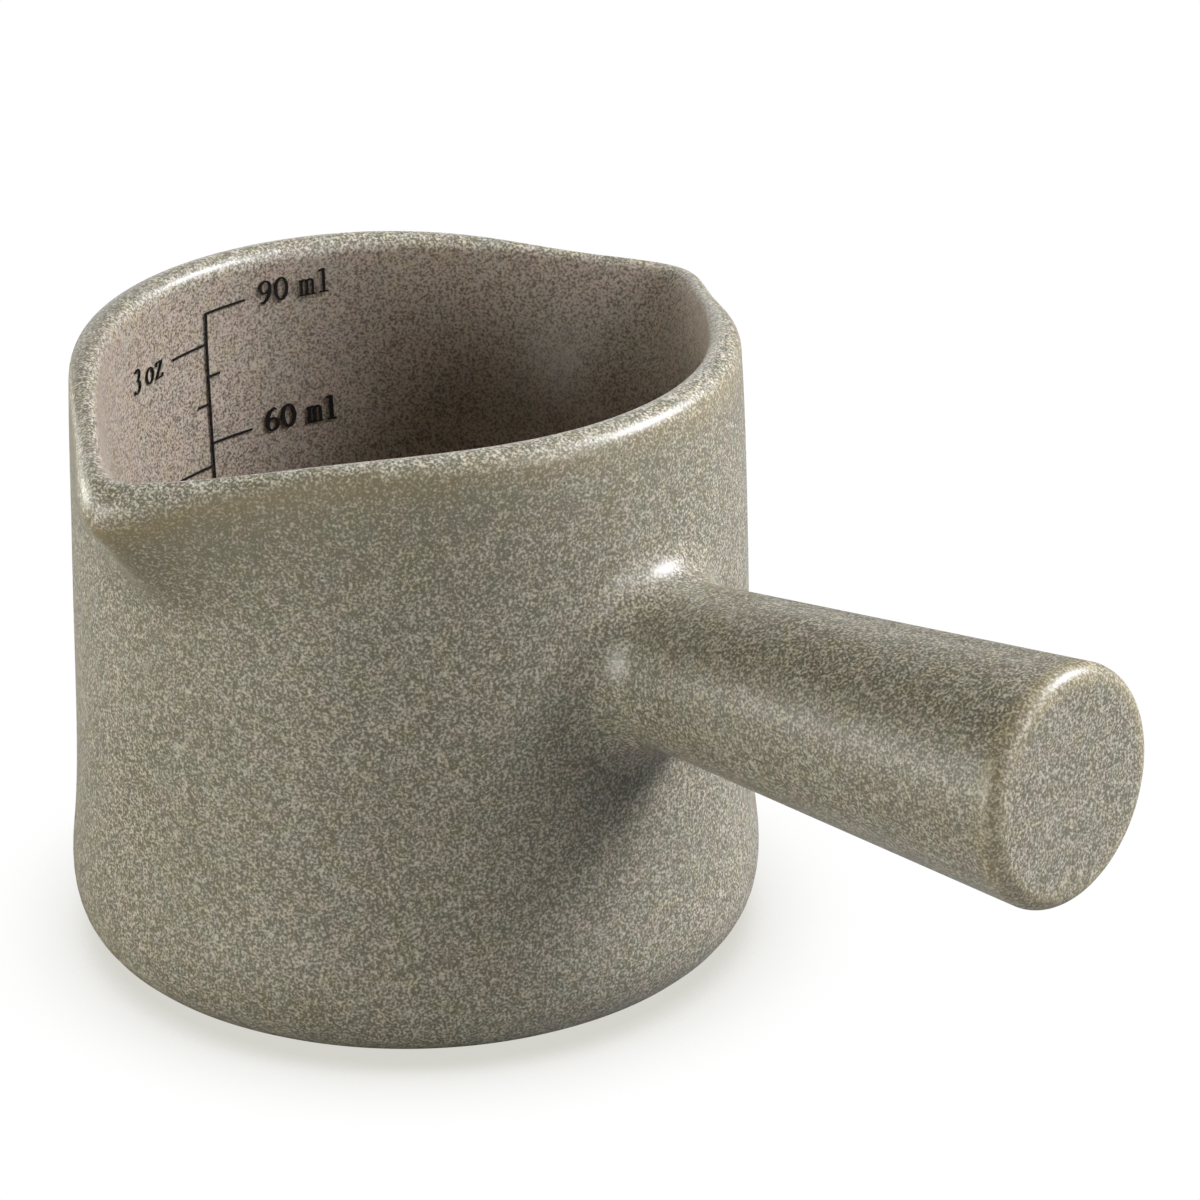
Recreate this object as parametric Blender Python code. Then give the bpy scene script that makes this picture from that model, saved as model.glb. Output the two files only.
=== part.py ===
"""A double-spout measuring cup with a stub handle: glazed stoneware, with a scale printed inside.

Frame: +Z up, origin at the centre of the flat foot, on the table. +X runs along the handle, and
the two spouts point along +Y and -Y. Lengths below are in millimetres and angles in degrees
unless a name says otherwise; points are turned into metres where a mesh is made.
"""

import math

import bmesh
import bpy
from mathutils import Vector
from mathutils.geometry import delaunay_2d_cdt, interpolate_bezier

MM = 0.001

# ---- cup body: outside ----
RIM_Z = 56.9  # height of the rim, away from the spouts
WALL_R = 30.4  # outer radius of the wall between its spread foot and its drawn-in rim
WALL_TAPER = 1.3  # the radius is this much less at the rim
FOOT_FLARE = 4.0  # the wall's line spreads by this down to the table
FOOT_FLARE_Z = 6.7  # height over which the spread dies away
FOOT_R = 23.5  # radius of the flat foot
FOOT_ROUND_Z = 10.5  # height of the rounding between the foot and the wall
FOOT_ROUND_POWER = 2.2  # 2 is an ellipse, more is a squarer rounding

# ---- cup body: inside ----
CAVITY_R = 26.4
LIP_BEAD = 0.9  # the lip thickens inwards by this at the rim
FLOOR_Z = 7.5
FLOOR_CORNER_R = 17.5

# ---- spouts, at 90 and -90 degrees ----
SPOUT_START_Z = 41.1  # where the bulge leaves the wall
SPOUT_START_SOFT = 0.15  # how softly it does, as a share of the spout's height
SPOUT_SOFT = 2.5  # half width of the rounding along a spout's centre line
SPOUT_POWER = 1.2  # how fast a spout's shape fades around the cup
SPOUT_OUT = 7.0  # how far a spout's tip stands out of the wall
SPOUT_WIDTH = 15.0
SPOUT_DROP = 6.1  # how far the lip's outer side falls at the tip
SPOUT_DROP_WIDTH = 15.5
CHANNEL_OUT = 7.7  # how far the channel inside a spout is pressed out
CHANNEL_WIDTH = 20.5
CHANNEL_DROP = 2.4  # how far the lip's inner side falls at the channel
CHANNEL_DROP_WIDTH = 21.0

# ---- handle ----
HANDLE_AXIS_X = 27.3  # a point on the handle's axis, inside the wall
HANDLE_AXIS_Z = 34.6
HANDLE_TILT = 2.9
HANDLE_LENGTH = 47.5  # from that point to the end face
HANDLE_ROOT_R = 7.45
HANDLE_END_R = 10.3
HANDLE_EDGE_R = 1.5

# ---- slip that joins the handle to the wall ----
JOINT_FILLET_R = 3.0
JOINT_BED = 0.5  # thickness of the slip under the handle's root
JOINT_EDGE = 0.2  # thickness at which a feathered edge stops
GAP = 0.15  # clearance between two fired-together pieces

# ---- printed scale ----
SCALE_ANGLE = 179.6
SCALE_LEAN = 2.2  # the print sits a little askew on the wall
SCALE_MIDDLE_Z = 44.0  # the height that it leans about
INK = 0.10  # thickness of the print
INK_GAP = 0.08
LINE_WIDTH = 0.20
LONG_TICK = 4.65
SHORT_TICK = 1.4
LABEL_GAP = 1.5  # between a long tick and its label
LINE_BELOW = 2.0  # how far the line runs on below the lowest mark
ML_MARKS = (90, 75, 60, 45, 30)
ML_LABELS = {90: -1.0, 60: -0.77, 30: -0.85}  # each label's baseline from its tick
OZ_MARKS = (3.0, 2.5, 2.0, 1.5, 1.0)
OZ_LABELS = {3: -0.95, 2: -0.95, 1: -0.95}
ML_PER_PRINTED_OZ = 27.55
ML_TYPE = (0.96, 0.84)  # a label's width and height as shares of the glyphs below
OZ_TYPE = (1.02, 0.88)
BOLD_PEN = (0.36, 0.18)  # widths of an upright and of a level stroke
PLAIN_PEN = (0.29, 0.15)
LIGHT_PEN = (0.23, 0.13)
NARROW_SHARE = 0.75  # the pen's width in the crowded letter m

# ---- mesh steps ----
AROUND = 96
FOOT_STEPS = 7
WALL_STEPS = 12
LIP_STEPS = 6
CAVITY_STEPS = 10
CORNER_STEPS = 14
HANDLE_AROUND = 48
HANDLE_STEPS = 8
EDGE_STEPS = 4

GLAZE = (0.33, 0.31, 0.26)
JOINT_SLIP = (0.37, 0.35, 0.30)
SCALE_INK = (0.02, 0.02, 0.02)


def clear_scene():
    for obj in list(bpy.data.objects):
        bpy.data.objects.remove(obj, do_unlink=True)


def principled(name, colour, roughness):
    material = bpy.data.materials.new(name)
    material.use_nodes = True
    shader = material.node_tree.nodes["Principled BSDF"]
    shader.inputs["Base Color"].default_value = (*colour, 1.0)
    shader.inputs["Roughness"].default_value = roughness
    shader.inputs["Metallic"].default_value = 0.0
    material.diffuse_color = (*colour, 1.0)
    return material


def add_object(name, bm, material, smooth_angle=40.0):
    """Turns a bmesh in millimetres into a scene object in metres."""
    bmesh.ops.scale(bm, vec=Vector((MM, MM, MM)), verts=bm.verts)
    bmesh.ops.recalc_face_normals(bm, faces=bm.faces)
    mesh = bpy.data.meshes.new(name)
    bm.to_mesh(mesh)
    bm.free()
    mesh.shade_smooth()
    mesh.set_sharp_from_angle(angle=math.radians(smooth_angle))
    mesh.materials.append(material)
    obj = bpy.data.objects.new(name, mesh)
    bpy.context.scene.collection.objects.link(obj)
    return obj


def loft(bm, rings):
    """Joins a list of closed rings with quads and closes both ends with a flat face."""
    loops = [[bm.verts.new(point) for point in ring] for ring in rings]
    for low, high in zip(loops, loops[1:]):
        for k in range(len(low)):
            after = (k + 1) % len(low)
            bm.faces.new((low[k], low[after], high[after], high[k]))
    bm.faces.new(list(reversed(loops[0])))
    bm.faces.new(loops[-1])


# ---------------------------------------------------------------- cup body


def spout_bump(angle, width):
    """1 at a spout's centre line, fading to 0 around the cup."""
    away = abs(angle % 180.0 - 90.0)
    away = math.hypot(away, SPOUT_SOFT) - SPOUT_SOFT
    return math.exp(-((away / width) ** SPOUT_POWER))


def spout_growth(z, top):
    """Near 0 below a spout, then straight up to 1 at the height top."""
    share = (z - SPOUT_START_Z) / (top - SPOUT_START_Z)
    soft = SPOUT_START_SOFT
    return (share + math.hypot(share, soft)) / (1.0 + math.hypot(1.0, soft))


def foot_rounding(z):
    """0 at the edge of the foot, rising to 1 where the wall takes over."""
    below = max(1.0 - z / FOOT_ROUND_Z, 0.0)
    return (1.0 - below**FOOT_ROUND_POWER) ** (1.0 / FOOT_ROUND_POWER)


def wall_radius(z):
    """The outer radius, leaving out the spouts."""
    wall = WALL_R - WALL_TAPER * (z / RIM_Z) ** 4 + FOOT_FLARE * math.exp(-z / FOOT_FLARE_Z)
    return FOOT_R + (wall - FOOT_R) * foot_rounding(z)


def lip_half():
    """Half the thickness of the lip, away from the spouts."""
    return (wall_radius(RIM_Z) - (CAVITY_R - LIP_BEAD)) / 2.0


def lip_outer_z(angle):
    """Where the outer wall ends and the lip's rounding begins."""
    return RIM_Z - lip_half() - SPOUT_DROP * spout_bump(angle, SPOUT_DROP_WIDTH)


def lip_inner_z(angle):
    return RIM_Z - lip_half() - CHANNEL_DROP * spout_bump(angle, CHANNEL_DROP_WIDTH)


def outer_radius(angle, z):
    bulge = SPOUT_OUT * spout_bump(angle, SPOUT_WIDTH)
    return wall_radius(z) + bulge * spout_growth(z, lip_outer_z(angle))


def cavity_wall_radius(angle, z):
    wall = CAVITY_R - LIP_BEAD * (z / RIM_Z) ** 12
    channel = CHANNEL_OUT * spout_bump(angle, CHANNEL_WIDTH)
    return wall + channel * spout_growth(z, lip_inner_z(angle))


def cavity_radius(angle, z):
    """The cavity's radius at a height, with its rounded floor corner."""
    radius = cavity_wall_radius(angle, z)
    drop = max(FLOOR_Z + FLOOR_CORNER_R - z, 0.0) / FLOOR_CORNER_R
    return radius - FLOOR_CORNER_R * (1.0 - math.sqrt(max(1.0 - drop * drop, 0.0)))


def lip_points(angle):
    """A curve over the lip, which leaves the outer wall and meets the inner one in line with them."""
    reach = 0.2
    ends = []
    for surface, z in ((outer_radius, lip_outer_z(angle)), (cavity_wall_radius, lip_inner_z(angle))):
        end = Vector((surface(angle, z), z))
        ends.append((end, (end - Vector((surface(angle, z - reach), z - reach))).normalized()))
    (outer, outer_way), (inner, inner_way) = ends
    pull = (outer - inner).length * 2.0 / 3.0
    points = interpolate_bezier(
        outer.to_3d(),
        (outer + outer_way * pull).to_3d(),
        (inner + inner_way * pull).to_3d(),
        inner.to_3d(),
        LIP_STEPS + 1,
    )
    return [(point.x, point.y) for point in points]


def body_profile(angle):
    """(radius, height) points from the edge of the foot, over the lip, to the edge of the floor."""
    points = []
    for k in range(FOOT_STEPS):
        turn = math.radians(90.0 * k / FOOT_STEPS)
        z = FOOT_ROUND_Z * (1.0 - math.cos(turn) ** (2.0 / FOOT_ROUND_POWER))
        points.append((outer_radius(angle, z), z))
    top = lip_outer_z(angle)
    for k in range(WALL_STEPS):
        z = FOOT_ROUND_Z + (top - FOOT_ROUND_Z) * k / WALL_STEPS
        points.append((outer_radius(angle, z), z))
    points += lip_points(angle)[:-1]
    top = lip_inner_z(angle)
    corner_top = FLOOR_Z + FLOOR_CORNER_R
    for k in range(CAVITY_STEPS):
        z = top + (corner_top - top) * k / CAVITY_STEPS
        points.append((cavity_wall_radius(angle, z), z))
    corner_r = cavity_wall_radius(angle, corner_top)
    for k in range(CORNER_STEPS + 1):
        turn = math.radians(90.0 * k / CORNER_STEPS)
        radius = corner_r - FLOOR_CORNER_R * (1.0 - math.cos(turn))
        points.append((radius, corner_top - FLOOR_CORNER_R * math.sin(turn)))
    return points


def make_body(material):
    angles = [360.0 * k / AROUND for k in range(AROUND)]
    profiles = [body_profile(angle) for angle in angles]
    rings = []
    for level in range(len(profiles[0])):
        ring = []
        for angle, profile in zip(angles, profiles):
            radius, z = profile[level]
            turn = math.radians(angle)
            ring.append(Vector((radius * math.cos(turn), radius * math.sin(turn), z)))
        rings.append(ring)
    bm = bmesh.new()
    loft(bm, rings)
    return add_object("cup_body", bm, material)


# ---------------------------------------------------------------- handle and its joint


def handle_point(turn, radius, along):
    """A point at a radius and a turn around the handle's axis, and a distance along it."""
    tilt = math.radians(HANDLE_TILT)
    axis = Vector((math.cos(tilt), 0.0, math.sin(tilt)))
    level = Vector((0.0, 1.0, 0.0))
    upright = Vector((-math.sin(tilt), 0.0, math.cos(tilt)))
    start = Vector((HANDLE_AXIS_X, 0.0, HANDLE_AXIS_Z))
    side = level * math.cos(turn) + upright * math.sin(turn)
    return start + axis * along + side * radius


def wall_distance(turn, radius):
    """How far along the handle's direction a line at this radius meets the cup's outer wall."""
    low, high = -HANDLE_AXIS_X, HANDLE_LENGTH
    for _ in range(40):
        middle = (low + high) / 2.0
        point = handle_point(turn, radius, middle)
        angle = math.degrees(math.atan2(point.y, point.x))
        if math.hypot(point.x, point.y) < outer_radius(angle, point.z):
            low = middle
        else:
            high = middle
    return low


def fillet_turn(lift):
    """The turn along the joint's fillet at which it stands this far off the wall."""
    return math.asin(1.0 - lift / JOINT_FILLET_R)


def fillet_spread(turn):
    return JOINT_FILLET_R * (1.0 - math.cos(turn))


def fillet_lift(turn):
    return JOINT_FILLET_R * (1.0 - math.sin(turn))


def wall_ring(radius, lift):
    """A ring around the handle's axis that stands a distance off the cup's wall."""
    ring = []
    for k in range(HANDLE_AROUND):
        turn = 2.0 * math.pi * k / HANDLE_AROUND
        ring.append(handle_point(turn, radius, wall_distance(turn, radius) + lift))
    return ring


def make_handle(material):
    root_lift = GAP + JOINT_BED + GAP
    edge_turn = fillet_turn(root_lift + JOINT_EDGE)
    edge_r = HANDLE_ROOT_R + fillet_spread(edge_turn)
    rings = [wall_ring(edge_r * share, root_lift) for share in (0.25, 0.5, 0.75, 1.0)]
    for k in range(EDGE_STEPS + 1):
        turn = edge_turn * (1.0 - k / EDGE_STEPS)
        rings.append(wall_ring(HANDLE_ROOT_R + fillet_spread(turn), fillet_lift(turn)))
    straight_end = HANDLE_LENGTH - HANDLE_EDGE_R
    starts = []
    for k in range(HANDLE_AROUND):
        turn = 2.0 * math.pi * k / HANDLE_AROUND
        starts.append(wall_distance(turn, HANDLE_ROOT_R) + JOINT_FILLET_R)
    for step in range(1, HANDLE_STEPS + 1):
        share = step / HANDLE_STEPS
        radius = HANDLE_ROOT_R + (HANDLE_END_R - HANDLE_ROOT_R) * share
        ring = []
        for k, start in enumerate(starts):
            turn = 2.0 * math.pi * k / HANDLE_AROUND
            ring.append(handle_point(turn, radius, start + (straight_end - start) * share))
        rings.append(ring)
    for step in range(1, EDGE_STEPS + 1):
        bend = math.radians(90.0 * step / EDGE_STEPS)
        radius = HANDLE_END_R - HANDLE_EDGE_R * (1.0 - math.cos(bend))
        along = straight_end + HANDLE_EDGE_R * math.sin(bend)
        ring = []
        for k in range(HANDLE_AROUND):
            ring.append(handle_point(2.0 * math.pi * k / HANDLE_AROUND, radius, along))
        rings.append(ring)
    bm = bmesh.new()
    loft(bm, rings)
    return add_object("handle", bm, material)


def make_joint_slip(material):
    """The bed of slip between the wall and the handle's root, with the fillet around it."""
    handle_edge = HANDLE_ROOT_R + fillet_spread(fillet_turn(2 * GAP + JOINT_BED + JOINT_EDGE))
    inner_turn = math.acos(1.0 - (handle_edge + GAP - HANDLE_ROOT_R) / JOINT_FILLET_R)
    outer_turn = fillet_turn(GAP + JOINT_EDGE)
    rim_r = HANDLE_ROOT_R + fillet_spread(outer_turn)
    rings = [wall_ring(rim_r * share, GAP) for share in (0.25, 0.5, 0.75, 1.0)]
    for k in range(EDGE_STEPS + 1):
        turn = outer_turn + (inner_turn - outer_turn) * k / EDGE_STEPS
        rings.append(wall_ring(HANDLE_ROOT_R + fillet_spread(turn), fillet_lift(turn)))
    bed_lift = GAP + JOINT_BED
    bed_r = handle_edge + GAP
    rings += [wall_ring(bed_r * share, bed_lift) for share in (1.0, 0.75, 0.5, 0.25)]
    bm = bmesh.new()
    loft(bm, rings)
    return add_object("handle_joint_slip", bm, material)


# ---------------------------------------------------------------- printed scale


def mark_heights(volumes_ml, slice_mm=0.2, samples=24):
    """The heights to which the cavity holds each of these volumes."""
    heights = {}
    z, held = FLOOR_Z, 0.0
    for wanted in sorted(volumes_ml):
        while True:
            radii = [cavity_radius(360.0 * k / samples, z + slice_mm / 2) for k in range(samples)]
            area = math.pi * sum(radius * radius for radius in radii) / samples
            missing = wanted * 1000.0 - held
            if area * slice_mm >= missing:
                heights[wanted] = z + missing / area
                break
            held += area * slice_mm
            z += slice_mm
    return heights


def line(*points):
    return list(points)


def arc(x, y, width, height, start, end, steps=12):
    points = []
    for k in range(steps + 1):
        turn = math.radians(start + (end - start) * k / steps)
        points.append((x + width * math.cos(turn), y + height * math.sin(turn)))
    return points


def upside_down(strokes, width, height):
    return [[(width - x, height - y) for x, y in stroke] for stroke in strokes]


def nine():
    bowl = arc(0.75, 2.02, 0.56, 0.72, 0, 360, 20)
    tail = arc(0.40, 1.95, 0.91, 1.80, 0, -88)
    ball = line((0.30, 0.18), (0.42, 0.33))
    return [bowl, tail, ball]


def stem_with_flag(x, height, flag):
    stem = line((x, 0.05), (x, height))
    top = line((x - flag, height - 0.22), (x, height - 0.04))
    base = line((x - 0.46, 0.08), (x + 0.46, 0.08))
    return [stem, top, base]


def letter_m():
    strokes = [line((0.02, 1.76), (0.28, 1.84))]
    for x in (0.28, 0.86, 1.44):
        strokes.append(line((x, 0.05), (x, 1.66 if x > 0.5 else 1.90)))
        strokes.append(line((x - 0.22, 0.07), (x + 0.22, 0.07)))
    for x in (0.57, 1.15):
        strokes.append(arc(x, 1.50, 0.29, 0.36, 180, 0, 8))
    return strokes


def letter_z():
    top = line((0.12, 1.44), (0.15, 1.84), (1.02, 1.84))
    diagonal = line((0.96, 1.80), (0.18, 0.14))
    base = line((0.10, 0.09), (1.04, 0.09), (1.10, 0.44))
    return [top, diagonal, base]


def digit_two():
    hook = arc(0.72, 2.08, 0.52, 0.66, 165, -35)
    slope = line(hook[-1], (0.18, 0.20))
    base = line((0.14, 0.12), (1.32, 0.12), (1.40, 0.50))
    return [hook, slope, base]


def digit_three():
    upper = arc(0.58, 2.10, 0.44, 0.62, 150, -80)
    lower = arc(0.52, 0.80, 0.56, 0.72, 85, -155)
    return [upper, lower]


GLYPHS = {
    "0": ([arc(0.76, 1.42, 0.60, 1.30, 0, 360, 24)], 1.78),
    "1": (stem_with_flag(0.76, 2.80, 0.42), 1.60),
    "2": (digit_two(), 1.60),
    "3": (digit_three(), 1.72),
    "6": (upside_down(nine(), 1.52, 2.84), 1.78),
    "9": (nine(), 1.78),
    "m": (letter_m(), 2.00),
    "l": (stem_with_flag(0.58, 2.84, 0.50), 1.16),
    "o": ([arc(0.72, 0.98, 0.56, 0.86, 0, 360, 20)], 1.72),
    "z": (letter_z(), 1.20),
}
WORD_GAP = {"ml": 0.87, "oz": 0.5}


def pen_strip(points, pen):
    """Quads along a stroke, wide where it runs upright and narrow where it runs level."""
    thick, thin = pen
    sides = []
    for k, (x, y) in enumerate(points):
        before = points[max(k - 1, 0)]
        after = points[min(k + 1, len(points) - 1)]
        if k in (0, len(points) - 1) and math.dist(points[0], points[-1]) < 1e-6:
            before, after = points[-2], points[1]
        dx, dy = after[0] - before[0], after[1] - before[1]
        length = math.hypot(dx, dy)
        half = (thin + (thick - thin) * abs(dy / length) ** 1.5) / 2.0
        nx, ny = -dy / length * half, dx / length * half
        sides.append(((x + nx, y + ny), (x - nx, y - ny)))
    return [(a[0], a[1], b[1], b[0]) for a, b in zip(sides, sides[1:])]


def flat_union(quads):
    """One triangulated outline that covers all the quads: (points, triangles)."""
    points, faces = [], []
    for quad in quads:
        faces.append(list(range(len(points), len(points) + 4)))
        points += [Vector(corner) for corner in quad]
    points, _, cells, _, _, sources = delaunay_2d_cdt(points, [], faces, 0, 1e-4)
    return points, [cell for cell, source in zip(cells, sources) if source]


def on_cavity_wall(u, v, lift):
    """u runs to the reader's right around the cavity, v is a height, lift is off the wall."""
    lean = math.radians(SCALE_LEAN)
    above = v - SCALE_MIDDLE_Z
    right = u * math.cos(lean) - above * math.sin(lean)
    z = SCALE_MIDDLE_Z + u * math.sin(lean) + above * math.cos(lean)
    angle = SCALE_ANGLE - math.degrees(right / CAVITY_R)
    radius = cavity_radius(angle, z) - INK_GAP - lift
    turn = math.radians(angle)
    return Vector((radius * math.cos(turn), radius * math.sin(turn), z))


def make_print(name, quads, u, v, material):
    """A thin raised print of these quads, with its origin at (u, v) on the cavity's wall."""
    points, cells = flat_union(quads)
    bm = bmesh.new()
    back, front = {}, {}
    for k in sorted({k for cell in cells for k in cell}):
        back[k] = bm.verts.new(on_cavity_wall(u + points[k].x, v + points[k].y, 0.0))
        front[k] = bm.verts.new(on_cavity_wall(u + points[k].x, v + points[k].y, INK))
    for cell in cells:
        bm.faces.new([front[k] for k in cell])
        bm.faces.new([back[k] for k in reversed(cell)])
    outline = {}
    for cell in cells:
        for a, b in zip(cell, list(cell[1:]) + [cell[0]]):
            if (b, a) in outline:
                del outline[(b, a)]
            else:
                outline[(a, b)] = True
    for a, b in outline:
        bm.faces.new((front[b], front[a], back[a], back[b]))
    return add_object(name, bm, material, 30.0)


def bar(start, end, width):
    """A straight quad from start to end, of one width, split into short lengths."""
    parts = max(1, round(math.dist(start, end)))
    dx, dy = end[0] - start[0], end[1] - start[1]
    length = math.hypot(dx, dy)
    nx, ny = -dy / length * width / 2.0, dx / length * width / 2.0
    quads = []
    for k in range(parts):
        x0, y0 = start[0] + dx * k / parts, start[1] + dy * k / parts
        x1, y1 = start[0] + dx * (k + 1) / parts, start[1] + dy * (k + 1) / parts
        quads.append(((x0 + nx, y0 + ny), (x0 - nx, y0 - ny), (x1 - nx, y1 - ny), (x1 + nx, y1 + ny)))
    return quads


def make_scale(material):
    heights = mark_heights(list(ML_MARKS) + [oz * ML_PER_PRINTED_OZ for oz in OZ_MARKS])
    top = heights[max(ML_MARKS)]
    bottom = min(heights.values()) - LINE_BELOW
    half = LINE_WIDTH / 2.0
    quads = bar((0.0, bottom), (0.0, top + half), LINE_WIDTH)
    for ml in ML_MARKS:
        reach = LONG_TICK if ml in ML_LABELS else SHORT_TICK
        quads += bar((0.0, heights[ml]), (reach, heights[ml]), LINE_WIDTH)
    for oz in OZ_MARKS:
        z = heights[oz * ML_PER_PRINTED_OZ]
        reach = LONG_TICK if oz in OZ_LABELS else SHORT_TICK
        quads += bar((0.0, z), (-reach, z), LINE_WIDTH)
    make_print("scale_lines", quads, 0.0, 0.0, material)
    for ml, baseline in ML_LABELS.items():
        pen = PLAIN_PEN if ml == max(ML_LABELS) else BOLD_PEN
        place = (LONG_TICK + LABEL_GAP, heights[ml] + baseline)
        make_label(ml, "ml", place, ML_TYPE, pen, material)
    for oz, baseline in OZ_LABELS.items():
        z = heights[oz * ML_PER_PRINTED_OZ] + baseline
        place = (-LONG_TICK - LABEL_GAP - label_width(oz, "oz") * OZ_TYPE[0], z)
        make_label(oz, "oz", place, OZ_TYPE, LIGHT_PEN, material)


def label_width(number, unit):
    return sum(GLYPHS[sign][1] for sign in str(number) + unit) + WORD_GAP[unit]


def make_label(number, unit, place, size, pen, material):
    """One printed label; each sign is its own piece of print."""
    u, v = place
    for word in (str(number), unit):
        for sign in word:
            strokes, advance = GLYPHS[sign]
            share = NARROW_SHARE if sign == "m" else 1.0
            drawn = (pen[0] * share, pen[1])
            quads = []
            for stroke in strokes:
                sized = [(x * size[0], y * size[1]) for x, y in stroke]
                quads += pen_strip(sized, drawn)
            make_print(f"print_{number}{unit}_{sign}", quads, u, v, material)
            u += advance * size[0]
        u += WORD_GAP[unit] * size[0]


def main():
    clear_scene()
    glaze = principled("stoneware_glaze", GLAZE, 0.45)
    slip = principled("joint_slip", JOINT_SLIP, 0.5)
    ink = principled("scale_ink", SCALE_INK, 0.6)
    make_body(glaze)
    make_handle(glaze)
    make_joint_slip(slip)
    make_scale(ink)


main()
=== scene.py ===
"""Looks of the double-spout measuring cup: a speckled satin glaze over a smooth one-piece pot.

Lengths are in millimetres and angles in degrees unless a name says otherwise. Meshes are turned
into metres where they are made. +Z is up, +X runs along the handle, the spouts point to +Y and -Y.
"""

import math

import bpy
import numpy as np
from mathutils import Matrix, Vector


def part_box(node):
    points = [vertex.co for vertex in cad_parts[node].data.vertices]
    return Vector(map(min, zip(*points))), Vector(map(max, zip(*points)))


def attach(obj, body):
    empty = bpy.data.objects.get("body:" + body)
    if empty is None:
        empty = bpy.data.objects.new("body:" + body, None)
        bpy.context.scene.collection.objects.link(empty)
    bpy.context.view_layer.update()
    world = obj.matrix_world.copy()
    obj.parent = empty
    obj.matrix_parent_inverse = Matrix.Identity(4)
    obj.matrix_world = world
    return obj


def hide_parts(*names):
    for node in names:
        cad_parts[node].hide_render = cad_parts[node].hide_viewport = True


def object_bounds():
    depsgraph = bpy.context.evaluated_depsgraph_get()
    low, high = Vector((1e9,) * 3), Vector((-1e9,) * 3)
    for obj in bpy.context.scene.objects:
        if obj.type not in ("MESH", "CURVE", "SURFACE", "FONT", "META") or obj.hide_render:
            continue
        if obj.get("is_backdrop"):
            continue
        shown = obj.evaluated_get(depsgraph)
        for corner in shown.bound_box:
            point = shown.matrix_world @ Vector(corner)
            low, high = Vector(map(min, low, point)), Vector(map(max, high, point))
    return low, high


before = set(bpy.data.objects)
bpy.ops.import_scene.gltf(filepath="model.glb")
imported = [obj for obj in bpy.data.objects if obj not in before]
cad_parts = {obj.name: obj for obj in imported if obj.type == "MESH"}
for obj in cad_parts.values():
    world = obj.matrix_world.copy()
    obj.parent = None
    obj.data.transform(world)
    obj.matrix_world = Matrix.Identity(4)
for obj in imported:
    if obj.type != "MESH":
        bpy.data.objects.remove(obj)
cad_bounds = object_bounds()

MM = 0.001

# ---- cup body: outside ----
RIM_Z = 56.9
WALL_R = 30.4
WALL_TAPER = 1.3  # how far the wall draws in at the rim
WALL_TAPER_POWER = 4
FOOT_FLARE = 4.0
FOOT_FLARE_Z = 6.7
FOOT_R = 23.5
FOOT_ROUND_Z = 10.5
FOOT_ROUND_POWER = 2.2

# ---- cup body: inside ----
CAVITY_R = 26.4
LIP_BEAD = 0.9  # how far the cavity narrows at the rim
LIP_BEAD_POWER = 12
LIP_SLOPE_REACH = 0.2  # how far below its end a wall's slope is measured
FLOOR_Z = 7.5
FLOOR_CORNER_R = 17.5

# ---- spouts ----
SPOUT_START_Z = 41.1
SPOUT_START_SOFT = 0.15
SPOUT_SOFT = 2.5  # half width of the rounding along a spout's centre line
SPOUT_POWER = 1.2
SPOUT_OUT = 7.0
SPOUT_WIDTH = 15.0
SPOUT_DROP = 6.1
SPOUT_DROP_WIDTH = 15.5
CHANNEL_OUT = 7.7
CHANNEL_WIDTH = 20.5
CHANNEL_DROP = 2.4
CHANNEL_DROP_WIDTH = 21.0

# ---- handle ----
HANDLE_AXIS_X = 27.3
HANDLE_AXIS_Z = 34.6
HANDLE_TILT = 2.9
HANDLE_LENGTH = 47.5
HANDLE_ROOT_R = 7.45
HANDLE_END_R = 10.3
HANDLE_EDGE_R = 1.5
FILLET_R = 3.4
FILLET_SINK = 0.15  # the fillet's edge lies this far inside the wall

# ---- where the glaze differs, and the painted shade on the lip ----
LIP_PAINTED_SHADE_ANGLE = 210.0  # painted shade on the lip: towards this angle its pale glaze fades out and the lip looks darker
LIP_PAINTED_SHADE_POWER = 6
LIP_PAINTED_SHADE_DEPTH = 0.9
THIN_BELOW_LIP = 1.5  # how far the thin band reaches below the lip
THIN_LIP_SHARE = 0.22  # and how far over it, as a share of its curve
THIN_AROUND = 0.45  # how strong it is away from the spouts
THIN_SPOUT_WIDTH = 40.0
PLAIN_BELOW_LIP = 8.0  # how far the glaze with few specks reaches below the lip
PLAIN_AROUND = 0.35  # how much of that there is away from the spouts
THIN_HANDLE = 0.45  # how far it reaches from the edge of the handle's end
THIN_HANDLE_EDGE = 0.7  # how strong it is on that edge
THIN_HANDLE_FACE = 0.4  # and where the edge meets the end face

# ---- mesh steps ----
AROUND = 360
FOOT_STEPS = 14
WALL_STEPS = 76
LIP_STEPS = 20
CAVITY_STEPS = 44
CORNER_STEPS = 26
FLOOR_RINGS = (0.75, 0.5, 0.25)
HANDLE_AROUND = 160
FILLET_STEPS = 12
HANDLE_STEPS = 56
EDGE_STEPS = 10
END_FACE_RINGS = (0.94, 0.86, 0.75, 0.5, 0.25)
HALVINGS = 40  # of the search for where a line meets the wall

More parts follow.
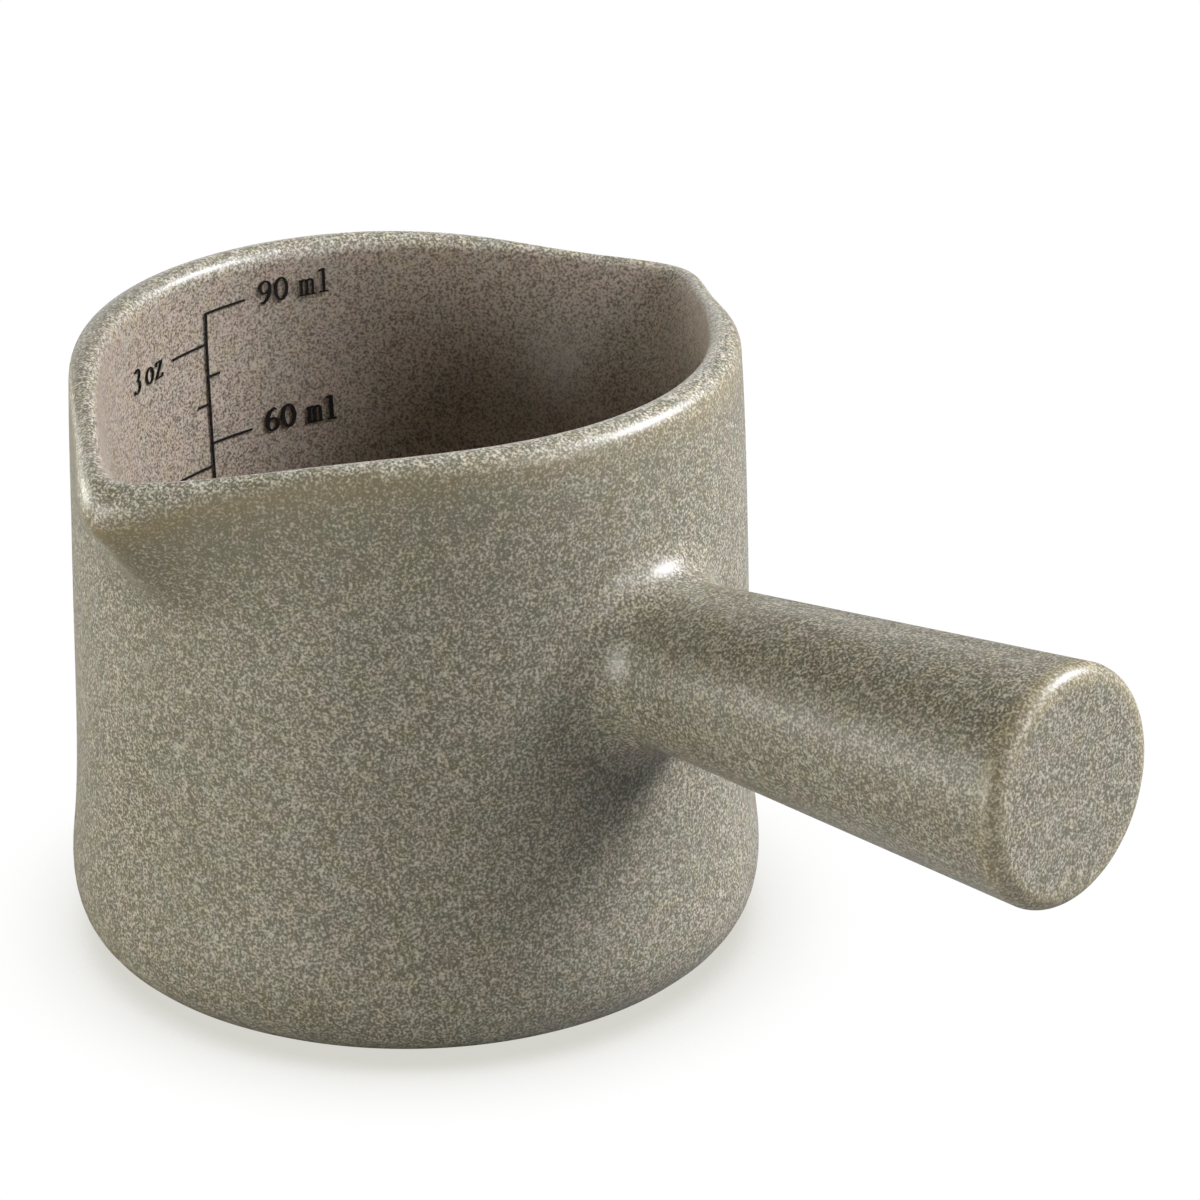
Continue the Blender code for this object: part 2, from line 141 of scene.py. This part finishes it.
# ---- glaze and ink ----
# Colours are as the screen shows them. A span is where a pattern's effect starts and is full.
NOISE_MIDDLE = 0.5
GRAIN = (4.2, 3.0, 0.6)  # waves per millimetre, detail, roughness
CLUSTERS_PER_MM = 1.3
CLUSTER_AMOUNT = 0.22
SPECK_SPAN = (0.40, 0.70)
INSIDE_SPECK_SPAN = (0.34, 0.62)
PLAIN_FEWER = 0.07  # how far the glaze with few specks moves the speck span
PLAIN_AMOUNT = 0.6  # how much of the plain ground colour it shows
LIP_AMOUNT = 0.8
GROUND = (95, 92, 77)
PLAIN_GROUND = (124, 118, 98)
SPECK = (176, 169, 154)
INSIDE_GROUND = (96, 86, 75)
INSIDE_SPECK = (170, 158, 145)
LIP_GROUND = (108, 105, 89)
LIP_SPECK = (214, 208, 194)
TAN_GROUND = (124, 113, 86)
TAN_SPECK = (178, 168, 140)
TAN_PATCHES_PER_MM = 0.45
TAN_PATCHES = (0.3, 0.6, 0.45, 1.0)  # a span, then how much of the tan it leaves
COOL_TINT = (0.97, 1.01, 0.99, 1.0)
PINK_TINT = (1.03, 0.985, 0.985, 1.0)
PINK_PER_MM = 0.35
PINK_SPAN = (0.35, 0.65)
OLIVE_TINT = (1.01, 1.0, 0.90, 1.0)
OLIVE_PER_MM = 0.6
OLIVE_SPAN = (0.45, 0.70)
PINHOLES_PER_MM = 0.45
PINHOLE = (0.035, 0.07)  # in cells from its middle: full depth to here, nothing from here
PINHOLE_COLOUR = (50, 45, 38)
PINHOLE_AMOUNT = 0.7
HALO = (0.08, 0.16)  # the same for the pale ring round it
HALO_COLOUR = (180, 172, 156)
HALO_AMOUNT = 0.3
GLAZE_ROUGHNESS = (0.35, 0.65, 0.36, 0.44)  # a span of the grain, then the roughness
GLAZE_SHEEN = 0.5
GLAZE_BUMP = 0.6
WAVES_PER_MM = 0.4
WAVE_HEIGHT = 0.04
GRAIN_HEIGHT = 0.008
PINHOLE_DEPTH = 0.04
INK_GRAIN = (3.0, 2.0, 0.6)
INK_SPAN = (0.3, 0.7)
INK_DARK = (20, 19, 18)
INK_LIGHT = (32, 30, 28)
INK_ROUGHNESS = (0.65, 0.75)
INK_SHEEN = 0.1
INK_BUMP = 0.4
INK_GRAIN_HEIGHT = 0.004

# ---- light ----
FLOOR_HALF_SIDE = 4.0  # in metres
FLOOR_ROUGHNESS = 0.8
FLOOR_SHADE = 0.22  # the floor's grey, for the light that it sheds on the cup
FLOOR_GLOW = 0.04  # and its own glow for that
CONTACT_REACH = 0.014  # of the soft shadow where cup and floor meet, in metres
CONTACT_SAMPLES = 8
CONTACT_POWER = 2.0
CONTACT_STRENGTH = 2.6
CONTACT_COLOUR = (0.66, 0.65, 0.60, 1.0)
FLOOR_WHITE = (1.0, 1.0, 1.0, 1.0)
FLOOR_WHITEST = (1.02, 1.02, 1.02, 1.0)
FLOOR_PATCHES_PER_MM = 0.02
ROOM_SEEN = 1.0  # the room's brightness as the camera sees it
ROOM_LIT = 0.02  # and for the light that it sheds
LIGHTS_AIM_X = 10.0
PANELS = (
    # name, azimuth, elevation, then metres: distance, width, height, then watts, colour
    ("key_panel", 54.0, 38.0, 0.70, 0.32, 0.24, 9.8, (0.98, 0.99, 1.05)),
    ("right_panel", 6.0, 16.0, 0.70, 0.30, 0.30, 1.7, (0.99, 0.99, 1.03)),
    ("left_panel", -158.0, 3.0, 0.60, 0.44, 0.25, 3.7, (1.0, 0.99, 0.95)),
    ("front_panel", -98.0, 4.0, 0.60, 0.44, 0.25, 3.8, (1.0, 0.99, 0.95)),
    ("back_panel", 150.0, 8.0, 0.80, 0.60, 0.50, 1.3, (1.0, 1.0, 1.0)),
)

# ---- camera ----
CAMERA_AZIMUTH = -44.614
CAMERA_OUT = 393.9  # from the cup's axis, level with the floor
CAMERA_HEIGHT = 205.8
CAMERA_TURN = -2.636
CAMERA_PITCH = 24.165
CAMERA_ROLL = -0.082
FRAME_SIDE = 1200.0  # the image's side, in the units of the next three
FOCAL = 4780.9
CENTRE_U = 613.36
CENTRE_V = 619.58
SENSOR_MM = 36.0
CLIP_NEAR = 0.01
CLIP_FAR = 20.0


# ---------------------------------------------------------------- shape of the pot


def spout_bump(angle, width):
    """1 at a spout's centre line, fading to 0 around the cup."""
    away = np.abs(angle % 180.0 - 90.0)
    away = np.hypot(away, SPOUT_SOFT) - SPOUT_SOFT
    return np.exp(-((away / width) ** SPOUT_POWER))


def spout_growth(z, top):
    """Near 0 below a spout, then straight up to 1 at the height top."""
    share = (z - SPOUT_START_Z) / (top - SPOUT_START_Z)
    soft = SPOUT_START_SOFT
    return (share + np.hypot(share, soft)) / (1.0 + math.hypot(1.0, soft))


def foot_rounding(z):
    """0 at the edge of the foot, rising to 1 where the wall takes over."""
    below = np.clip(1.0 - z / FOOT_ROUND_Z, 0.0, 1.0)
    return (1.0 - below**FOOT_ROUND_POWER) ** (1.0 / FOOT_ROUND_POWER)


def wall_radius(z):
    """The outer radius, leaving out the spouts."""
    taper = WALL_TAPER * (z / RIM_Z) ** WALL_TAPER_POWER
    wall = WALL_R - taper + FOOT_FLARE * np.exp(-z / FOOT_FLARE_Z)
    return FOOT_R + (wall - FOOT_R) * foot_rounding(z)


def lip_half():
    """Half the thickness of the lip, away from the spouts."""
    return (wall_radius(RIM_Z) - (CAVITY_R - LIP_BEAD)) / 2.0


def lip_outer_z(angle):
    return RIM_Z - lip_half() - SPOUT_DROP * spout_bump(angle, SPOUT_DROP_WIDTH)


def lip_inner_z(angle):
    return RIM_Z - lip_half() - CHANNEL_DROP * spout_bump(angle, CHANNEL_DROP_WIDTH)


def outer_radius(angle, z):
    bulge = SPOUT_OUT * spout_bump(angle, SPOUT_WIDTH)
    return wall_radius(z) + bulge * spout_growth(z, lip_outer_z(angle))


def cavity_radius(angle, z):
    wall = CAVITY_R - LIP_BEAD * (z / RIM_Z) ** LIP_BEAD_POWER
    channel = CHANNEL_OUT * spout_bump(angle, CHANNEL_WIDTH)
    return wall + channel * spout_growth(z, lip_inner_z(angle))


def lip_end(surface, angles, z):
    """Where a wall ends at the lip, and its upward direction there, as (radius, height) pairs."""
    below = z - LIP_SLOPE_REACH
    end = np.stack([surface(angles, z), z])
    way = end - np.stack([surface(angles, below), below])
    return end, way / np.hypot(*way)


def lip_curve(angles):
    """Points over the lip, in line with the outer wall at the start and the inner one at the end."""
    outer, outer_way = lip_end(outer_radius, angles, lip_outer_z(angles))
    inner, inner_way = lip_end(cavity_radius, angles, lip_inner_z(angles))
    # Pulled by two thirds of the lip's thickness, the curve is close to a half circle.
    pull = np.hypot(*(outer - inner)) * 2.0 / 3.0
    corners = (outer, outer + outer_way * pull, inner + inner_way * pull, inner)
    for k in range(LIP_STEPS):
        t = k / LIP_STEPS
        shares = ((1 - t) ** 3, 3 * t * (1 - t) ** 2, 3 * t**2 * (1 - t), t**3)
        radius, z = sum(share * corner for share, corner in zip(shares, corners))
        yield t, radius, z


def body_rings(angles):
    """(radius, height, thin, lip, inside, plain) for each ring: foot, outer wall, lip, cavity, floor."""
    flat = np.zeros_like(angles)
    near_spout = spout_bump(angles, THIN_SPOUT_WIDTH)
    thin_amount = THIN_AROUND + (1.0 - THIN_AROUND) * near_spout
    plain_amount = PLAIN_AROUND + (1.0 - PLAIN_AROUND) * near_spout
    # Painted shade on the lip: its pale glaze fades out around one angle, so that side of the lip looks
    # darker.
    near_painted_shade = np.clip(np.cos(np.radians(angles - LIP_PAINTED_SHADE_ANGLE)), 0.0, 1.0)
    lip_share_after_painted_shade = 1.0 - LIP_PAINTED_SHADE_DEPTH * near_painted_shade**LIP_PAINTED_SHADE_POWER
    for share in reversed(FLOOR_RINGS):
        yield FOOT_R * share + flat, flat, flat, flat, flat, flat
    for k in range(FOOT_STEPS):
        turn = math.radians(90.0 * k / FOOT_STEPS)
        z = FOOT_ROUND_Z * (1.0 - math.cos(turn) ** (2.0 / FOOT_ROUND_POWER)) + flat
        yield outer_radius(angles, z), z, flat, flat, flat, flat
    top = lip_outer_z(angles)
    for k in range(WALL_STEPS):
        z = FOOT_ROUND_Z + (top - FOOT_ROUND_Z) * k / WALL_STEPS
        thin = thin_amount * np.exp(-(((top - z) / THIN_BELOW_LIP) ** 2))
        plain = plain_amount * np.exp(-(((top - z) / PLAIN_BELOW_LIP) ** 2))
        yield outer_radius(angles, z), z, thin, flat, flat, plain
    for t, radius, z in lip_curve(angles):
        thin = thin_amount * math.exp(-((t / THIN_LIP_SHARE) ** 2))
        plain = plain_amount * math.exp(-((t / THIN_LIP_SHARE) ** 2))
        yield radius, z, thin, lip_share_after_painted_shade * math.sin(math.pi * t), t**4 + flat, plain
    top = lip_inner_z(angles)
    corner_top = FLOOR_Z + FLOOR_CORNER_R
    for k in range(CAVITY_STEPS):
        z = top + (corner_top - top) * k / CAVITY_STEPS
        yield cavity_radius(angles, z), z, flat, flat, flat + 1.0, flat
    corner_r = cavity_radius(angles, corner_top + flat)
    for k in range(CORNER_STEPS + 1):
        turn = math.radians(90.0 * k / CORNER_STEPS)
        radius = corner_r - FLOOR_CORNER_R * (1.0 - math.cos(turn))
        yield radius, corner_top - FLOOR_CORNER_R * math.sin(turn) + flat, flat, flat, flat + 1.0, flat
    for share in FLOOR_RINGS:
        yield (corner_r - FLOOR_CORNER_R) * share, FLOOR_Z + flat, flat, flat, flat + 1.0, flat


def tube_mesh(name, rings, looks, start, end):
    """A closed smooth mesh through rings of points, with a point on the axis at each end."""
    count = len(rings[0])
    points = np.concatenate([[start], *rings, [end]])
    faces = []
    for row in range(len(rings) - 1):
        low = 1 + row * count
        for k in range(count):
            after = (k + 1) % count
            faces.append((low + k, low + after, low + count + after, low + count + k))
    last = 1 + (len(rings) - 1) * count
    tip = len(points) - 1
    for k in range(count):
        after = (k + 1) % count
        faces.append((0, 1 + after, 1 + k))
        faces.append((tip, last + k, last + after))
    mesh = bpy.data.meshes.new(name)
    mesh.from_pydata((points * MM).tolist(), [], faces)
    mesh.update()
    mesh.shade_smooth()
    for look, values in looks.items():
        layer = mesh.attributes.new(look, "FLOAT", "POINT")
        values = np.concatenate([[0.0], np.concatenate(values), [0.0]]).astype(np.float32)
        layer.data.foreach_set("value", values)
    return mesh


def add_piece(name, mesh, material, nodes):
    """A glazed piece that stands in for these nodes of the frame."""
    piece = bpy.data.objects.new(name, mesh)
    bpy.context.scene.collection.objects.link(piece)
    mesh.materials.append(material)
    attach(piece, "root")
    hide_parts(*nodes)


def make_body(material):
    """The glazed cup, with how its glaze differs stored at each point."""
    angles = np.arange(AROUND) * 360.0 / AROUND
    turn = np.radians(angles)
    rings = []
    looks = {"thin_glaze": [], "lip_glaze_and_painted_shade": [], "inside_glaze": [], "plain_glaze": []}
    for radius, z, *shares in body_rings(angles):
        rings.append(np.stack([radius * np.cos(turn), radius * np.sin(turn), z], axis=-1))
        for look, share in zip(looks.values(), shares):
            look.append(share)
    mesh = tube_mesh("glazed_cup", rings, looks, (0.0, 0.0, 0.0), (0.0, 0.0, FLOOR_Z))
    add_piece("glazed_cup", mesh, material, ["cup_body"])


# ---------------------------------------------------------------- handle


def handle_points(turn, radius, along):
    """Points at a radius and turns around the handle's axis, and distances along it."""
    tilt = math.radians(HANDLE_TILT)
    axis = np.array([math.cos(tilt), 0.0, math.sin(tilt)])
    level = np.array([0.0, 1.0, 0.0])
    upright = np.array([-math.sin(tilt), 0.0, math.cos(tilt)])
    start = np.array([HANDLE_AXIS_X, 0.0, HANDLE_AXIS_Z])
    side = np.cos(turn)[:, None] * level + np.sin(turn)[:, None] * upright
    along = np.broadcast_to(along, turn.shape)[:, None]
    radius = np.broadcast_to(radius, turn.shape)[:, None]
    return start + axis * along + side * radius


def wall_distances(turn, radius):
    """How far along the handle's direction lines at this radius meet the cup's outer wall."""
    low = np.full_like(turn, -HANDLE_AXIS_X)
    high = np.full_like(turn, HANDLE_LENGTH)
    for _ in range(HALVINGS):
        middle = (low + high) / 2.0
        points = handle_points(turn, radius, middle)
        angle = np.degrees(np.arctan2(points[:, 1], points[:, 0]))
        inside = np.hypot(points[:, 0], points[:, 1]) < outer_radius(angle, points[:, 2])
        low = np.where(inside, middle, low)
        high = np.where(inside, high, middle)
    return low


def fade_from(edge_amount, away):
    """How thin the glaze is at a distance from the edge of the handle's end."""
    return edge_amount * np.exp(-((away / THIN_HANDLE) ** 2))


def make_handle(material):
    """The glazed handle and the joint slip in one skin, in line with the cup's wall."""
    turn = np.arange(HANDLE_AROUND) * 2.0 * math.pi / HANDLE_AROUND
    flat = np.zeros_like(turn)
    rings, thin = [], []

    def add(radius, along, share):
        rings.append(handle_points(turn, radius, along))
        thin.append(share + flat)

    for k in range(FILLET_STEPS):
        bend = math.radians(90.0 * (1.0 - k / FILLET_STEPS))
        radius = HANDLE_ROOT_R + FILLET_R * (1.0 - math.cos(bend))
        lift = FILLET_R * (1.0 - math.sin(bend))
        sink = FILLET_SINK if k == 0 else 0.0
        add(radius, wall_distances(turn, radius) + lift - sink, 0.0)
    starts = wall_distances(turn, HANDLE_ROOT_R) + FILLET_R
    straight_end = HANDLE_LENGTH - HANDLE_EDGE_R
    for step in range(HANDLE_STEPS + 1):
        share = step / HANDLE_STEPS
        radius = HANDLE_ROOT_R + (HANDLE_END_R - HANDLE_ROOT_R) * share
        along = starts + (straight_end - starts) * share
        add(radius, along, fade_from(THIN_HANDLE_EDGE, straight_end - along))
    for step in range(1, EDGE_STEPS + 1):
        bend = math.radians(90.0 * step / EDGE_STEPS)
        radius = HANDLE_END_R - HANDLE_EDGE_R * (1.0 - math.cos(bend))
        amount = THIN_HANDLE_EDGE if step < EDGE_STEPS else THIN_HANDLE_FACE
        add(radius, straight_end + HANDLE_EDGE_R * math.sin(bend), amount)
    face_radius = HANDLE_END_R - HANDLE_EDGE_R
    for share in END_FACE_RINGS:
        add(face_radius * share, HANDLE_LENGTH, fade_from(THIN_HANDLE_FACE, face_radius * (1.0 - share)))
    start = handle_points(np.zeros(1), 0.0, 0.0)[0]
    end = handle_points(np.zeros(1), 0.0, HANDLE_LENGTH)[0]
    mesh = tube_mesh("glazed_handle", rings, {"thin_glaze": thin}, start, end)
    add_piece("glazed_handle", mesh, material, ["handle", "handle_joint_slip"])


# ---------------------------------------------------------------- materials


def srgb(red, green, blue):
    """Screen colour values of 0 to 255 as the linear colour that a shader takes."""
    linear = []
    for value in (red, green, blue):
        share = value / 255.0
        linear.append(share / 12.92 if share <= 0.04045 else ((share + 0.055) / 1.055) ** 2.4)
    return (*linear, 1.0)


class Nodes:
    """A short way to write a material's node tree."""

    def __init__(self, name):
        self.material = bpy.data.materials.new(name)
        self.material.use_nodes = True
        self.tree = self.material.node_tree
        self.shader = self.tree.nodes["Principled BSDF"]

    def node(self, kind, **settings):
        made = self.tree.nodes.new(kind)
        for key, value in settings.items():
            setattr(made, key, value)
        return made

    def put(self, value, socket):
        if isinstance(value, bpy.types.NodeSocket):
            self.tree.links.new(value, socket)
        else:
            socket.default_value = value

    def place(self, scale):
        """Object coordinates multiplied so that one unit is 1/scale millimetres."""
        where = self.node("ShaderNodeTexCoord").outputs["Object"]
        mapping = self.node("ShaderNodeMapping")
        self.put(where, mapping.inputs["Vector"])
        mapping.inputs["Scale"].default_value = (scale / MM,) * 3
        return mapping.outputs["Vector"]

    def noise(self, per_mm, detail=2.0, roughness=0.5):
        made = self.node("ShaderNodeTexNoise")
        self.put(self.place(per_mm), made.inputs["Vector"])
        made.inputs["Scale"].default_value = 1.0
        made.inputs["Detail"].default_value = detail
        made.inputs["Roughness"].default_value = roughness
        return made.outputs["Fac"]

    def span(self, value, low, high, to_low=0.0, to_high=1.0):
        """value mapped from low..high to to_low..to_high with a soft start and end."""
        made = self.node("ShaderNodeMapRange", interpolation_type="SMOOTHSTEP")
        for socket, wanted in zip(made.inputs, (value, low, high, to_low, to_high)):
            self.put(wanted, socket)
        return made.outputs["Result"]

    def math(self, operation, a, b=0.0, clamp=False):
        made = self.node("ShaderNodeMath", operation=operation, use_clamp=clamp)
        self.put(a, made.inputs[0])
        self.put(b, made.inputs[1])
        return made.outputs[0]

    def mix(self, share, a, b, blend="MIX"):
        made = self.node("ShaderNodeMix", data_type="RGBA", blend_type=blend)
        self.put(share, made.inputs["Factor"])
        self.put(a, made.inputs["A"])
        self.put(b, made.inputs["B"])
        return made.outputs["Result"]

    def attribute(self, name):
        return self.node("ShaderNodeAttribute", attribute_name=name).outputs["Fac"]

    def bump(self, height, strength):
        """Raises the surface by a height in millimetres."""
        made = self.node("ShaderNodeBump")
        self.put(self.math("MULTIPLY", height, MM), made.inputs["Height"])
        made.inputs["Strength"].default_value = strength
        made.inputs["Distance"].default_value = 1.0
        self.put(made.outputs["Normal"], self.shader.inputs["Normal"])


def tinted(n, colour):
    """The colour with slow patches of cooler, pinker and more olive glaze."""
    pink = n.span(n.noise(PINK_PER_MM), *PINK_SPAN)
    olive = n.span(n.noise(OLIVE_PER_MM), *OLIVE_SPAN)
    tint = n.mix(pink, COOL_TINT, PINK_TINT)
    tint = n.mix(olive, tint, OLIVE_TINT)
    return n.mix(1.0, colour, tint, "MULTIPLY")


def pinholes(n, colour):
    """The colour with scattered dark pinholes in pale rings, and how deep in one each place is."""
    cells = n.node("ShaderNodeTexVoronoi", feature="F1")
    n.put(n.place(PINHOLES_PER_MM), cells.inputs["Vector"])
    cells.inputs["Scale"].default_value = 1.0
    hole = n.span(cells.outputs["Distance"], *PINHOLE, 1.0, 0.0)
    halo = n.span(cells.outputs["Distance"], *HALO, 1.0, 0.0)
    colour = n.mix(n.math("MULTIPLY", halo, HALO_AMOUNT), colour, srgb(*HALO_COLOUR))
    return n.mix(n.math("MULTIPLY", hole, PINHOLE_AMOUNT), colour, srgb(*PINHOLE_COLOUR)), hole


def glaze_material():
    """A satin glaze with light specks, paler on the lip but for painted shade on one side of it, pinkish
    inside and tan where it is thin.
    """
    n = Nodes("speckled_satin_glaze")
    thin = n.attribute("thin_glaze")
    lip = n.attribute("lip_glaze_and_painted_shade")
    inside = n.attribute("inside_glaze")
    plain = n.attribute("plain_glaze")
    clusters = n.math("SUBTRACT", n.noise(CLUSTERS_PER_MM), NOISE_MIDDLE)
    grain = n.math("ADD", n.noise(*GRAIN), n.math("MULTIPLY", clusters, CLUSTER_AMOUNT))
    fewer = n.math("MULTIPLY", plain, PLAIN_FEWER)
    specks = n.span(n.math("SUBTRACT", grain, fewer), *SPECK_SPAN)
    inside_specks = n.span(grain, *INSIDE_SPECK_SPAN)
    ground = n.mix(n.math("MULTIPLY", plain, PLAIN_AMOUNT), srgb(*GROUND), srgb(*PLAIN_GROUND))
    outer = n.mix(specks, ground, srgb(*SPECK))
    inner = n.mix(inside_specks, srgb(*INSIDE_GROUND), srgb(*INSIDE_SPECK))
    on_lip = n.mix(specks, srgb(*LIP_GROUND), srgb(*LIP_SPECK))
    glazed = n.mix(inside, outer, inner)
    # The lip's pale glaze, with less of it where shade is painted on the lip.
    glazed = n.mix(n.math("MULTIPLY", lip, LIP_AMOUNT), glazed, on_lip)
    glazed = tinted(n, glazed)
    patches = n.span(n.noise(TAN_PATCHES_PER_MM), *TAN_PATCHES)
    tan = n.mix(specks, srgb(*TAN_GROUND), srgb(*TAN_SPECK))
    glazed = n.mix(n.math("MULTIPLY", thin, patches, True), glazed, tan)
    colour, hole = pinholes(n, glazed)
    n.put(colour, n.shader.inputs["Base Color"])
    n.put(n.span(grain, *GLAZE_ROUGHNESS), n.shader.inputs["Roughness"])
    n.shader.inputs["Specular IOR Level"].default_value = GLAZE_SHEEN
    waves = n.math("MULTIPLY", n.noise(WAVES_PER_MM), WAVE_HEIGHT)
    height = n.math("ADD", waves, n.math("MULTIPLY", grain, GRAIN_HEIGHT))
    n.bump(n.math("SUBTRACT", height, n.math("MULTIPLY", hole, PINHOLE_DEPTH)), GLAZE_BUMP)
    return n.material


def ink_material():
    """Matt black ink of a fired decal."""
    n = Nodes("black_decal_ink")
    grain = n.noise(*INK_GRAIN)
    share = n.span(grain, *INK_SPAN)
    n.put(n.mix(share, srgb(*INK_DARK), srgb(*INK_LIGHT)), n.shader.inputs["Base Color"])
    n.put(n.span(grain, *INK_SPAN, *INK_ROUGHNESS), n.shader.inputs["Roughness"])
    n.shader.inputs["Specular IOR Level"].default_value = INK_SHEEN
    n.bump(n.math("MULTIPLY", grain, INK_GRAIN_HEIGHT), INK_BUMP)
    return n.material


# ---------------------------------------------------------------- studio


def seen_or_lit(tree, seen, lit, socket):
    """Gives a socket one value as the camera sees it and another for the light that it sheds."""
    path = tree.nodes.new("ShaderNodeLightPath")
    mix = tree.nodes.new("ShaderNodeMix")
    mix.data_type = "FLOAT"
    tree.links.new(path.outputs["Is Camera Ray"], mix.inputs["Factor"])
    for name, value in (("A", lit), ("B", seen)):
        if isinstance(value, bpy.types.NodeSocket):
            tree.links.new(value, mix.inputs[name])
        else:
            mix.inputs[name].default_value = value
    tree.links.new(mix.outputs["Result"], socket)


def make_floor():
    """A pale floor that the camera sees evenly lit but for the soft shadow round the cup's foot."""
    n = Nodes("pale_floor")
    patches = n.noise(FLOOR_PATCHES_PER_MM)
    openness = n.node("ShaderNodeAmbientOcclusion", samples=CONTACT_SAMPLES)
    openness.inputs["Distance"].default_value = CONTACT_REACH
    closed = n.math("SUBTRACT", 1.0, openness.outputs["AO"])
    shadow = n.math("MULTIPLY", n.math("POWER", closed, CONTACT_POWER), CONTACT_STRENGTH, True)
    white = n.mix(patches, FLOOR_WHITE, FLOOR_WHITEST)
    n.put(n.mix(shadow, white, CONTACT_COLOUR), n.shader.inputs["Emission Color"])
    seen_or_lit(n.tree, 1.0, FLOOR_GLOW, n.shader.inputs["Emission Strength"])
    shade = n.node("ShaderNodeCombineColor")
    for socket in (shade.inputs["Red"], shade.inputs["Green"], shade.inputs["Blue"]):
        seen_or_lit(n.tree, 0.0, FLOOR_SHADE, socket)
    n.put(shade.outputs["Color"], n.shader.inputs["Base Color"])
    n.shader.inputs["Roughness"].default_value = FLOOR_ROUGHNESS
    n.shader.inputs["Specular IOR Level"].default_value = 0.0
    mesh = bpy.data.meshes.new("floor")
    side = FLOOR_HALF_SIDE
    corners = [(-side, -side, 0), (side, -side, 0), (side, side, 0), (-side, side, 0)]
    mesh.from_pydata(corners, [], [(0, 1, 2, 3)])
    floor = bpy.data.objects.new("floor", mesh)
    floor.location.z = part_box("cup_body")[0].z
    mesh.materials.append(n.material)
    bpy.context.scene.collection.objects.link(floor)
    floor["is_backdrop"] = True


def make_world():
    """A white room to look at, with hardly any light of its own."""
    world = bpy.data.worlds.new("white_room")
    world.use_nodes = True
    background = world.node_tree.nodes["Background"]
    background.inputs["Color"].default_value = (1.0, 1.0, 1.0, 1.0)
    seen_or_lit(world.node_tree, ROOM_SEEN, ROOM_LIT, background.inputs["Strength"])
    bpy.context.scene.world = world


def make_lights():
    """Rectangular soft lights, each turned towards the middle of the cup and handle."""
    aim = Vector((LIGHTS_AIM_X, 0.0, RIM_Z / 2.0)) * MM
    for name, azimuth, elevation, distance, width, height, watts, colour in PANELS:
        turn = math.radians(azimuth)
        rise = math.radians(elevation)
        level = math.cos(rise)
        away = Vector((math.cos(turn) * level, math.sin(turn) * level, math.sin(rise)))
        lamp = bpy.data.lights.new(name, "AREA")
        lamp.shape = "RECTANGLE"
        lamp.size = width
        lamp.size_y = height
        lamp.energy = watts
        lamp.color = colour
        panel = bpy.data.objects.new(name, lamp)
        panel.location = aim + away * distance
        panel.rotation_euler = away.to_track_quat("Z", "Y").to_euler()
        panel.visible_camera = False
        bpy.context.scene.collection.objects.link(panel)


def make_camera():
    """The camera, placed round the cup and then turned, pitched and rolled a little off its axis."""
    azimuth = math.radians(CAMERA_AZIMUTH)
    yaw = azimuth + math.pi + math.radians(CAMERA_TURN)
    pitch = math.radians(CAMERA_PITCH)
    roll = math.radians(CAMERA_ROLL)
    forward = Vector((math.cos(pitch) * math.cos(yaw), math.cos(pitch) * math.sin(yaw), -math.sin(pitch)))
    right = forward.cross(Vector((0.0, 0.0, 1.0))).normalized()
    up = right.cross(forward)
    rolled_right = right * math.cos(roll) + up * math.sin(roll)
    rolled_up = up * math.cos(roll) - right * math.sin(roll)
    lens = bpy.data.cameras.new("camera")
    lens.sensor_width = SENSOR_MM
    lens.lens = FOCAL / FRAME_SIDE * SENSOR_MM
    lens.shift_x = 0.5 - CENTRE_U / FRAME_SIDE
    lens.shift_y = CENTRE_V / FRAME_SIDE - 0.5
    lens.clip_start = CLIP_NEAR
    lens.clip_end = CLIP_FAR
    camera = bpy.data.objects.new("camera", lens)
    turned = Matrix((rolled_right, rolled_up, -forward)).transposed().to_4x4()
    place = Vector((CAMERA_OUT * math.cos(azimuth), CAMERA_OUT * math.sin(azimuth), CAMERA_HEIGHT)) * MM
    camera.matrix_world = Matrix.Translation(place) @ turned
    bpy.context.scene.collection.objects.link(camera)
    bpy.context.scene.camera = camera


def main():
    """The glazed pieces, matt ink on the frame's own print, and the studio."""
    glaze = glaze_material()
    ink = ink_material()
    make_body(glaze)
    make_handle(glaze)
    for name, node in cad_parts.items():
        if name.startswith(("print_", "scale_")):
            node.data.materials.clear()
            node.data.materials.append(ink)
    make_floor()
    make_world()
    make_lights()
    make_camera()
    bpy.context.scene.view_settings.view_transform = "Standard"


main()

boxes = {"cad": cad_bounds, "visual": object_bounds()}
{name: [list(corner) for corner in box] for name, box in boxes.items()}
